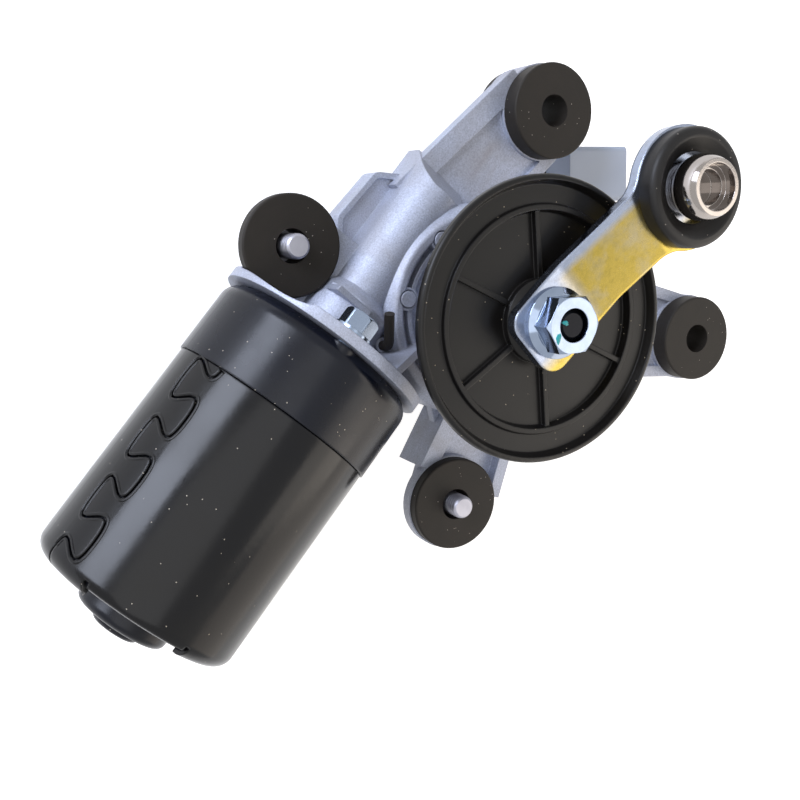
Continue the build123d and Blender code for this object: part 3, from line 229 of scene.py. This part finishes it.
def moulded_solid(name, tone, deep, gloss=0.42, dusty=0.0, shine=0.4):
    """Moulded plastic, board, carbon or ferrite: satin, slight grain of the tool and a few dust specks."""
    material, tree, shader, place = begin(name)
    cloud = add(tree, "ShaderNodeTexNoise", {"Vector": place, "Scale": per(11), "Detail": 4.0})
    base = add(tree, "ShaderNodeMix", {"Factor": cloud.outputs["Fac"], "A": linear(tone), "B": linear(deep)},
               data_type="RGBA")
    colour = base
    if dusty:
        colour = add(tree, "ShaderNodeMix", {"Factor": dust(tree, place, 1.5, dusty),
                                             "A": base.outputs["Result"],
                                             "B": linear("#a89c88")}, data_type="RGBA")
    grain = add(tree, "ShaderNodeTexNoise", {"Vector": place, "Scale": per(0.4), "Detail": 2.0})
    eased = add(tree, "ShaderNodeBevel", {"Radius": MOULDED_EDGE * MM}, samples=6)
    bump = add(tree, "ShaderNodeBump", {"Height": grain.outputs["Fac"], "Strength": 0.1, "Distance": 0.0001,
                                        "Normal": eased.outputs["Normal"]})
    rough = add(tree, "ShaderNodeMapRange", {"Value": cloud.outputs["Fac"], "To Min": gloss - 0.08,
                                             "To Max": gloss + 0.1})
    tree.links.new(colour.outputs["Result"], shader.inputs["Base Color"])
    tree.links.new(rough.outputs["Result"], shader.inputs["Roughness"])
    tree.links.new(bump.outputs["Normal"], shader.inputs["Normal"])
    shader.inputs["Specular IOR Level"].default_value = shine
    return material


def clean_metal(name, tone, shade, gloss, streak_mm=0.35):
    """Plated, ground, drawn or sintered metal: clear, with fine marks of the tool and slight mottling."""
    material, tree, shader, place = begin(name)
    mottle = add(tree, "ShaderNodeTexNoise", {"Vector": place, "Scale": per(5), "Detail": 4.0})
    marks = add(tree, "ShaderNodeTexNoise", {"Vector": place, "Scale": per(streak_mm), "Detail": 3.0})
    colour = add(tree, "ShaderNodeMix", {"Factor": mottle.outputs["Fac"], "A": linear(tone),
                                         "B": linear(shade)}, data_type="RGBA")
    rough = add(tree, "ShaderNodeMapRange", {"Value": mottle.outputs["Fac"], "To Min": gloss * 0.7,
                                             "To Max": gloss * 1.4})
    eased = add(tree, "ShaderNodeBevel", {"Radius": MACHINED_EDGE * MM}, samples=6)
    bump = add(tree, "ShaderNodeBump", {"Height": marks.outputs["Fac"], "Strength": 0.1, "Distance": 0.00005,
                                        "Normal": eased.outputs["Normal"]})
    tree.links.new(colour.outputs["Result"], shader.inputs["Base Color"])
    tree.links.new(rough.outputs["Result"], shader.inputs["Roughness"])
    tree.links.new(bump.outputs["Normal"], shader.inputs["Normal"])
    shader.inputs["Metallic"].default_value = 1.0
    return material


def phosphated_shaft():
    """Ground steel shaft whose end in the nut is phosphated black."""
    material, tree, shader, place = begin("phosphated_steel")
    height = add(tree, "ShaderNodeSeparateXYZ", {"Vector": place})
    black = add(tree, "ShaderNodeMath", {0: height.outputs["Z"], 1: SHAFT_BLACK_FROM},
                operation="GREATER_THAN")
    marks = add(tree, "ShaderNodeTexNoise", {"Vector": place, "Scale": per(0.8), "Detail": 3.0})
    ground = add(tree, "ShaderNodeMix", {"Factor": marks.outputs["Fac"], "A": linear("#9a9a9e"),
                                         "B": linear("#7c7c84")}, data_type="RGBA")
    colour = add(tree, "ShaderNodeMix", {"Factor": black.outputs[0], "A": ground.outputs["Result"],
                                         "B": linear("#14151a")}, data_type="RGBA")
    bump = add(tree, "ShaderNodeBump", {"Height": marks.outputs["Fac"], "Strength": 0.2, "Distance": 0.0001})
    tree.links.new(colour.outputs["Result"], shader.inputs["Base Color"])
    tree.links.new(bump.outputs["Normal"], shader.inputs["Normal"])
    shader.inputs["Metallic"].default_value = 0.8
    shader.inputs["Roughness"].default_value = 0.34
    return material


def passivated_zinc_and_reflection():
    """Bright zinc: yellow passivation and painted warm reflection on the joggled run, thinning to silver at
    pads and edge.
    """
    material, tree, shader, place = begin("passivated_zinc_and_reflection")
    turned = add(tree, "ShaderNodeMapping", {"Vector": place, "Rotation": (0, 0, -CRANK_TURN)})
    patch = add(tree, "ShaderNodeTexNoise", {"Vector": place, "Scale": per(9), "Detail": 4.0,
                                             "Roughness": 0.6})
    along = add(tree, "ShaderNodeSeparateXYZ", {"Vector": turned.outputs["Vector"]})
    # The yellow is partly passivation and partly a painted warm reflection on the joggled run and the low
    # edge.
    starts = add(tree, "ShaderNodeMapRange", {"Value": along.outputs["X"], "From Min": GOLD_AND_REFLECTION_STARTS[0] * MM,
                                              "From Max": GOLD_AND_REFLECTION_STARTS[1] * MM})
    ends = add(tree, "ShaderNodeMapRange", {"Value": along.outputs["X"], "From Min": GOLD_AND_REFLECTION_ENDS[0] * MM,
                                            "From Max": GOLD_AND_REFLECTION_ENDS[1] * MM})
    inside = add(tree, "ShaderNodeMapRange", {"Value": along.outputs["Y"], "From Min": GOLD_AND_REFLECTION_EDGE[0] * MM,
                                              "From Max": GOLD_AND_REFLECTION_EDGE[1] * MM})
    low = add(tree, "ShaderNodeMapRange", {"Value": along.outputs["Y"], "From Min": GOLD_AND_REFLECTION_LOW[0] * MM,
                                           "From Max": GOLD_AND_REFLECTION_LOW[1] * MM})
    run = add(tree, "ShaderNodeMath", {0: starts.outputs["Result"], 1: ends.outputs["Result"]},
              operation="MULTIPLY")
    either = add(tree, "ShaderNodeMath", {0: run.outputs[0], 1: low.outputs["Result"]}, operation="MAXIMUM")
    gold_and_reflection = add(tree, "ShaderNodeMath", {0: either.outputs[0], 1: inside.outputs["Result"]},
               operation="MULTIPLY")
    worn = add(tree, "ShaderNodeMapRange", {"Value": patch.outputs["Fac"], "From Min": 0.3, "From Max": 0.5,
                                            "To Min": 0.72, "To Max": 1.0})
    amount = add(tree, "ShaderNodeMath", {0: gold_and_reflection.outputs[0], 1: worn.outputs["Result"]},
                 operation="MULTIPLY")
    base = add(tree, "ShaderNodeMix", {"Factor": amount.outputs[0], "A": linear("#98a1b4"),
                                       "B": linear("#aa964a")}, data_type="RGBA")
    # Dull handling marks about 2 mm apart.
    scuffs = add(tree, "ShaderNodeTexNoise", {"Vector": place, "Scale": per(2), "Detail": 6.0,
                                              "Roughness": 0.7})
    dull = add(tree, "ShaderNodeMapRange", {"Value": scuffs.outputs["Fac"], "From Min": 0.52,
                                            "From Max": 0.78, "To Min": 0.0, "To Max": 0.4})
    colour = add(tree, "ShaderNodeMix", {"Factor": dull.outputs["Result"], "A": base.outputs["Result"],
                                         "B": linear("#6f6548")}, data_type="RGBA")
    rough = add(tree, "ShaderNodeMapRange", {"Value": scuffs.outputs["Fac"], "From Min": 0.3,
                                             "From Max": 0.7, "To Min": 0.14, "To Max": 0.3})
    eased = add(tree, "ShaderNodeBevel", {"Radius": PRESSED_EDGE * MM}, samples=6)
    bump = add(tree, "ShaderNodeBump", {"Height": scuffs.outputs["Fac"], "Strength": 0.12,
                                        "Distance": 0.00012, "Normal": eased.outputs["Normal"]})
    tree.links.new(colour.outputs["Result"], shader.inputs["Base Color"])
    tree.links.new(rough.outputs["Result"], shader.inputs["Roughness"])
    tree.links.new(bump.outputs["Normal"], shader.inputs["Normal"])
    shader.inputs["Metallic"].default_value = 1.0
    return material


def check_paint():
    """Teal check paint, brushed on by hand: thin, slightly glossy, paler where it runs out."""
    material, tree, shader, place = begin("check_paint")
    thin = add(tree, "ShaderNodeTexNoise", {"Vector": place, "Scale": per(1.2), "Detail": 3.0})
    colour = add(tree, "ShaderNodeMix", {"Factor": thin.outputs["Fac"], "A": linear("#0f8f97"),
                                         "B": linear("#39b4b6")}, data_type="RGBA")
    tree.links.new(colour.outputs["Result"], shader.inputs["Base Color"])
    shader.inputs["Roughness"].default_value = 0.4
    return material


def dress(material, *nodes):
    """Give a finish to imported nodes."""
    for name in nodes:
        slots = frame["nodes"][name].data.materials
        if not len(slots):
            slots.append(material)
        for index in range(len(slots)):
            slots[index] = material


zinc = clean_metal("bright_zinc", "#93a0b4", "#7a8698", 0.2)
white_zinc = clean_metal("white_zinc", "#b4b4be", "#94949e", 0.42, 0.5)
sleeve_enamel = stoved_enamel("stoved_enamel_sleeve", "#080a11", "#0b0907", 0.18, 0.16)
# The can's black leans blue: a painted reflection of cool light.
dress(stoved_enamel("stoved_enamel_can", "#0d121f", "#08080c", 0.26, 0.6), "yoke_can")
dress(sleeve_enamel, "flux_sleeve")
dress(die_cast_aluminium(), "gearbox_housing")
dress(moulded_rubber("moulded_rubber", "#171411", "#27221d", 0.62), "grommet_1", "grommet_2", "grommet_3",
      "grommet_4", "vent_tube", "cover_gasket")
dress(moulded_rubber("seal_rubber", "#0f0e0f", "#191716", 0.46), "ball_seal")
dress(moulded_solid("moulded_nylon_disc", "#0c0b0c", "#13110f", 0.32, 0.35, 0.26), "splash_disc")
dress(moulded_solid("glass_filled_nylon", "#100f0f", "#181513", 0.38, 0.35, 0.3), "gear_cover",
      "commutator_hub", "thrust_button")
dress(moulded_solid("pale_polyester", "#c6d0e2", "#b6c1d6", 0.5), "connector_shell")
dress(moulded_solid("natural_acetal", "#e6e0cf", "#d8d0ba", 0.4), "worm_wheel")
dress(moulded_solid("phenolic_board", "#5a3418", "#6d4322", 0.5), "brush_card")
dress(moulded_solid("pressed_carbon", "#26262a", "#34343a", 0.5), "brush_common", "brush_low_speed",
      "brush_high_speed")
dress(moulded_solid("sintered_ferrite", "#2c2c31", "#3a3a40", 0.5), "magnet_upper", "magnet_lower", "chokes")
dress(passivated_zinc_and_reflection(), "crank_arm")
dress(clean_metal("bright_zinc_nut", "#9eabbf", "#7d8aa0", 0.11), "crank_nut")
dress(zinc, "yoke_screws", "yoke_screw_washers", "cover_screws", "thrust_pad", "bearing_clip",
      "thrust_washer", "circlip", "rear_bush_retainer", "magnet_clips")
dress(white_zinc, "mount_bolt_1", "mount_bolt_4")
dress(clean_metal("hard_chrome", "#a8a29e", "#8e8884", 0.1), "ball_stud")
dress(phosphated_shaft(), "output_shaft")
dress(clean_metal("ground_steel", "#9a9a9e", "#84848a", 0.3), "armature_shaft", "worm",
      "armature_core", "front_bearing_inner", "front_bearing_outer", "front_bearing_balls", "thrust_ball")
dress(clean_metal("drawn_brass", "#c9a85a", "#b39048", 0.3), "brush_holder_common", "brush_holder_low_speed",
      "brush_holder_high_speed", "motor_blades", "connector_terminals", "park_contact_plate", "park_contacts",
      "brush_springs")
dress(clean_metal("sintered_bronze", "#8a6a3c", "#735630", 0.5), "rear_bush", "tail_bush",
      "output_bush_lower", "output_bush_upper")
dress(clean_metal("enamelled_copper", "#b8683a", "#9c5229", 0.32), "armature_winding", "commutator")


# ---------------------------------------------------------------- small pieces
def surface(name, points, material, body):
    """A grid of points (rows, columns, 3), round in its columns and capped at both ends, riding on a body."""
    rows, columns = points.shape[:2]
    here = np.arange(rows * columns).reshape(rows, columns)
    ahead = np.roll(here, -1, axis=1)
    quads = np.stack([here[:-1], ahead[:-1], ahead[1:], here[1:]], axis=-1).reshape(-1, 4)
    mesh = bpy.data.meshes.new(name)
    caps = [tuple(int(i) for i in here[0][::-1]), tuple(int(i) for i in here[-1])]
    mesh.from_pydata([tuple(point) for point in points.reshape(-1, 3).tolist()], [],
                     [tuple(quad) for quad in quads.tolist()] + caps)
    mesh.polygons.foreach_set("use_smooth", np.ones(len(mesh.polygons), bool))
    mesh.polygons[len(quads)].use_smooth = False
    mesh.polygons[len(quads) + 1].use_smooth = False
    mesh.materials.append(material)
    piece = bpy.data.objects.new(name, mesh)
    bpy.context.scene.collection.objects.link(piece)
    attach(piece, body)


def stud_thread(number, spot):
    """Rolled thread on a stud: at angle a and height z the radius swells by a cosine of z / pitch - a / turn,
    raised to a blunt crest, and falls to nothing at the stud's chamfered end."""
    angle = np.linspace(0, 2 * np.pi, 48, endpoint=False)
    top = STUD_TOP - STUD_CHAMFER
    height = np.linspace(THREAD_FOOT, top, 90)
    a, z = np.meshgrid(angle, height)
    wave = 0.5 + 0.5 * np.cos(2 * np.pi * z / THREAD_PITCH - a)
    fade = np.clip((top - z) / THREAD_RUN_OUT, 0, 1) * np.clip((z - THREAD_FOOT) / THREAD_RUN_IN, 0, 1)
    radius = STUD_RADIUS - THREAD_SUNK + THREAD_HEIGHT * wave ** 0.8 * fade
    points = np.stack([spot[0] + radius * np.cos(a), spot[1] + radius * np.sin(a), z], axis=-1) * MM
    surface(f"stud_thread_{number}", points, white_zinc, "base")


def paint_dab(name, at, toward, up, size, body, material):
    """A brushed dab: a flattened dome whose rim wavers; its height falls as one less the square of the
    distance to the middle."""
    across = np.array(toward, float)
    normal = np.array(up, float)
    across -= normal * across.dot(normal)
    across /= np.linalg.norm(across)
    aside = np.cross(normal, across)
    turn = np.linspace(0, 2 * np.pi, 40, endpoint=False)
    rim = 1 + 0.12 * np.sin(3 * turn + 0.7) + 0.07 * np.sin(7 * turn)
    share = np.array([1.0, 0.98, 0.85, 0.6, 0.3, 0.02])
    s, t = np.meshgrid(share, turn, indexing="ij")
    lift = DAB_THICK * (1 - s ** 2) - DAB_SUNK * (s > 0.99)
    points = (np.array(at)[None, None] + (s * rim * np.cos(t))[..., None] * across * size[0] / 2
              + (s * rim * np.sin(t))[..., None] * aside * size[1] / 2 + lift[..., None] * normal) * MM
    surface(name, points, material, body)


def seam_lip(side):
    """Coined lip along one side of the sleeve's seam: the seam's centre line runs on by t and swings by
    cosines of t and 3t, is set off sideways by half the gap, wrapped on the sleeve and carried as a round rod
    that is sunk until only its crown stands proud."""
    t = np.linspace(SEAM_FIRST, SEAM_LAST, 460)
    x = SEAM_START - SEAM_PITCH * t / (2 * np.pi) - SEAM_NECK * np.sin(2 * t)
    c = SEAM_HALF * ((1 + SEAM_ROUNDING) * np.cos(t) - SEAM_ROUNDING * np.cos(3 * t))
    on_barrel = np.arange(len(x)) < np.argmax(x < SEAM_END)
    x, c = x[on_barrel], c[on_barrel]
    dx, dc = np.gradient(x), np.gradient(c)
    length = np.hypot(dx, dc)
    offset = side * (SEAM_GAP / 2 + LIP_RADIUS * 0.8)
    x, c = x - dc / length * offset, c + dx / length * offset
    around = np.array([0, np.sin(SEAM_ANGLE), np.cos(SEAM_ANGLE)])
    beside = np.array([0, np.cos(SEAM_ANGLE), -np.sin(SEAM_ANGLE)])
    out = np.sqrt(SLEEVE_RADIUS ** 2 - c ** 2)
    radial = (out[:, None] * around + c[:, None] * beside) / SLEEVE_RADIUS
    axis = np.stack([x, np.full_like(x, MOTOR_AXIS[0]), np.full_like(x, MOTOR_AXIS[1])], axis=1)
    middle = axis + radial * (SLEEVE_RADIUS - LIP_RADIUS + LIP_PROUD)
    tangent = np.gradient(middle, axis=0)
    tangent /= np.linalg.norm(tangent, axis=1)[:, None]
    across = np.cross(radial, tangent)
    turn = np.linspace(0, 2 * np.pi, 12, endpoint=False)[None, :, None]
    points = middle[:, None] + LIP_RADIUS * (np.cos(turn) * across[:, None] + np.sin(turn) * radial[:, None])
    surface("seam_lip_" + ("left" if side < 0 else "right"), points * MM, sleeve_enamel, "base")


teal = check_paint()
for side in (-1, 1):
    seam_lip(side)
for stud, spot in STUDS.items():
    stud_thread(stud, spot)
paint_dab("nut_dab", (-5.0, 1.5, 45.2), (-1, -0.6, 0), (0, 0, 1), (2.6, 1.4), "crank", teal)
paint_dab("flange_dab", (-30.9, 31.7, 23.7), (0, 1, -0.4), (1, 0, 0), (1.5, 1.1), "base", teal)
paint_dab("screw_dab", (-25.3, 31.6, 20.4), (0, 1, 0.3), (1, 0, 0), (1.7, 1.0), "base", teal)
paint_dab("shaft_dab", (-0.9, 2.0, 44.6), (-0.4, 1, 0), (0, 0, 1), (1.9, 1.1), "crank", teal)


# ---------------------------------------------------------------- floor, light and camera
def background_ray(tree):
    """One where the camera sees a surface directly, in a reflection or through glass."""
    path = add(tree, "ShaderNodeLightPath")
    mirrored = add(tree, "ShaderNodeMath", {0: path.outputs["Is Camera Ray"],
                                            1: path.outputs["Is Glossy Ray"]}, operation="MAXIMUM")
    seen = add(tree, "ShaderNodeMath", {0: mirrored.outputs[0], 1: path.outputs["Is Transmission Ray"]},
               operation="MAXIMUM")
    return seen.outputs[0]


def floor():
    """A wide pale floor, clear from below. Its glow makes it white, and leaves hardly any shadow to see."""
    mesh = bpy.data.meshes.new("floor")
    corners = [(-FLOOR_HALF, -FLOOR_HALF), (FLOOR_HALF, -FLOOR_HALF), (FLOOR_HALF, FLOOR_HALF),
               (-FLOOR_HALF, FLOOR_HALF)]
    mesh.from_pydata([(x, y, FLOOR_Z) for x, y in corners], [], [(0, 1, 2, 3)])
    plane = bpy.data.objects.new("floor", mesh)
    bpy.context.scene.collection.objects.link(plane)
    material, tree, shader, place = begin("white_paper")
    shader.inputs["Base Color"].default_value = linear("#f4f4f4")
    shader.inputs["Roughness"].default_value = 0.9
    shader.inputs["Specular IOR Level"].default_value = 0.0
    reach = add(tree, "ShaderNodeVectorMath", {0: place}, operation="LENGTH")
    level = add(tree, "ShaderNodeMapRange", {"Value": reach.outputs["Value"], "From Min": FLOOR_NEAR,
                                             "From Max": FLOOR_FAR, "To Min": FLOOR_GLOW, "To Max": 1.0})
    glow = add(tree, "ShaderNodeMath", {0: background_ray(tree), 1: level.outputs["Result"]},
               operation="MULTIPLY")
    below = add(tree, "ShaderNodeNewGeometry").outputs["Backfacing"]
    clear = add(tree, "ShaderNodeBsdfTransparent").outputs["BSDF"]
    sheet = add(tree, "ShaderNodeMixShader", {0: below, 1: shader.outputs["BSDF"], 2: clear})
    shader.inputs["Emission Color"].default_value = (1, 1, 1, 1)
    tree.links.new(glow.outputs[0], shader.inputs["Emission Strength"])
    tree.links.new(sheet.outputs["Shader"], tree.nodes["Material Output"].inputs["Surface"])
    mesh.materials.append(material)


def lamp(name, at, size, power, colour="#ffffff"):
    """A square soft lamp that faces the part."""
    data = bpy.data.lights.new(name, "AREA")
    data.size = size
    data.energy = power
    data.color = linear(colour)[:3]
    light = bpy.data.objects.new(name, data)
    light.location = Vector(at)
    light.rotation_euler = (-Vector(at)).to_track_quat("-Z", "Y").to_euler()
    bpy.context.scene.collection.objects.link(light)


def world():
    """Even pale surroundings."""
    scene = bpy.context.scene
    scene.world = bpy.data.worlds.new("studio")
    scene.world.use_nodes = True
    tree = scene.world.node_tree
    level = add(tree, "ShaderNodeMapRange", {"Value": background_ray(tree), "To Min": WORLD_LIGHT,
                                             "To Max": 1.0})
    back = tree.nodes["Background"]
    back.inputs["Color"].default_value = linear("#ffffff")
    tree.links.new(level.outputs["Result"], back.inputs["Strength"])


def camera():
    """Camera 0.27 m away that looks down on the crank side."""
    data = bpy.data.cameras.new("camera")
    data.sensor_width = 36
    data.lens = CAMERA_LENS
    data.clip_start = 0.01
    holder = bpy.data.objects.new("camera", data)
    turn = Matrix((CAMERA_RIGHT, CAMERA_UP, CAMERA_BACK)).transposed().to_4x4()
    holder.matrix_world = Matrix.Translation(CAMERA_AT) @ turn
    bpy.context.scene.collection.objects.link(holder)
    bpy.context.scene.camera = holder


floor()
world()
lamp("window", (-0.05, 1.0, 0.34), 0.56, 12.0, "#e4ecff")
lamp("overhead", (-0.25, 0.35, 1.0), 0.9, 3.0)
lamp("fill", (0.25, -0.75, 0.62), 0.7, 3.4, "#fff5e8")
lamp("low_fill", (0.0, -0.95, 0.25), 0.85, 2.4, "#ffeedb")
camera()
bpy.context.scene.view_settings.view_transform = "Standard"
